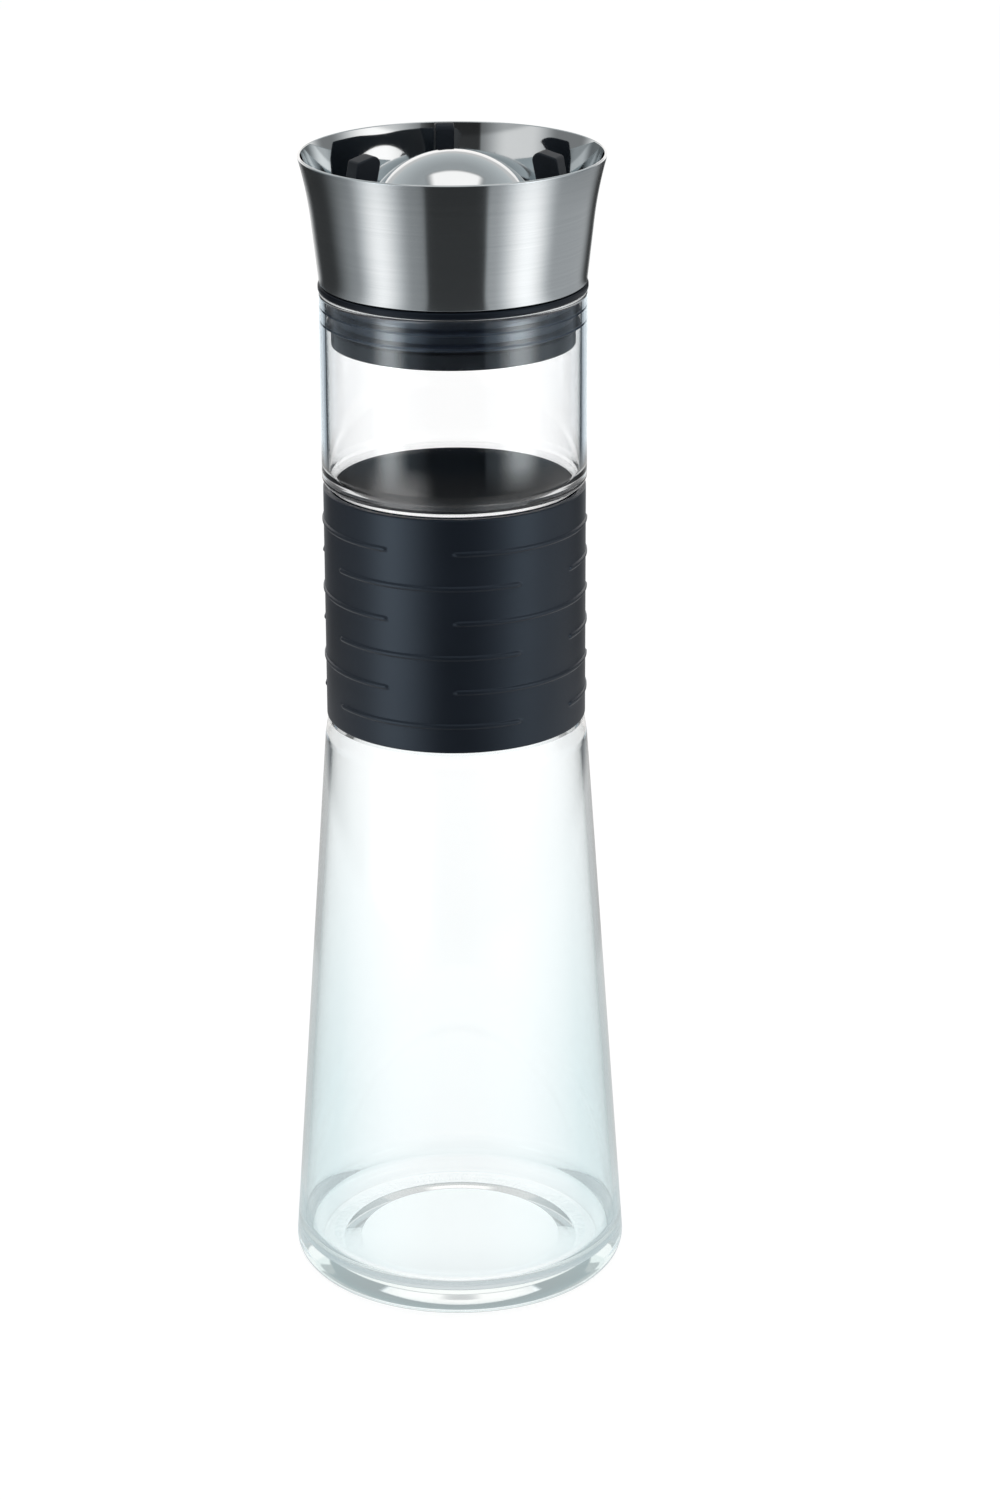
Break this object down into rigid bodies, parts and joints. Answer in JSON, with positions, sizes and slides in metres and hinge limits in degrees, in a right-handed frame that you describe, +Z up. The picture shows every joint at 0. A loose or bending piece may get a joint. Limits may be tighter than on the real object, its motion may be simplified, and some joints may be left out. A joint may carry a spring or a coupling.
{
  "type": "glass carafe",
  "caption": "Tapered glass carafe with a ribbed silicone grip sleeve and a flared steel pouring lid whose dome valve lifts off its seat when tilted and closes by itself when upright.",
  "frame": {"origin": "centre of the surface that the carafe stands on", "axes": "+Z up along the carafe's axis, -Y towards the viewer, +X to the viewer's right"},
  "size_m": [0.0906, 0.0906, 0.3125],
  "materials": {
    "clear_glass": "clear, fire-polished",
    "grip_silicone": "satin moulded silicone",
    "seal_silicone": "soft satin silicone",
    "black_plastic": "fine matte moulding",
    "brushed_steel": "brushed round the axis outside, polished inside",
    "polished_steel": "polished stainless steel"
  },
  "bodies": {
    "vessel": {"glass_body": "clear_glass", "grip_sleeve": "grip_silicone"},
    "lid": {"pouring_collar": "brushed_steel", "neck_seal": "seal_silicone", "stopper_core": "black_plastic", "guide_cage": "black_plastic"},
    "valve": {"valve_dome": "polished_steel", "dome_carrier": "black_plastic", "valve_gasket": "seal_silicone"}
  },
  "joints": [
    {"name": "lid_lift", "type": "slide", "parent": "vessel", "child": "lid", "axis": [0, 0, 1], "range_m": [0, 0.06]},
    {"name": "valve_lift", "type": "slide", "parent": "lid", "child": "valve", "axis": [0, 0, 1], "range_m": [0, 0.012]}
  ]
}
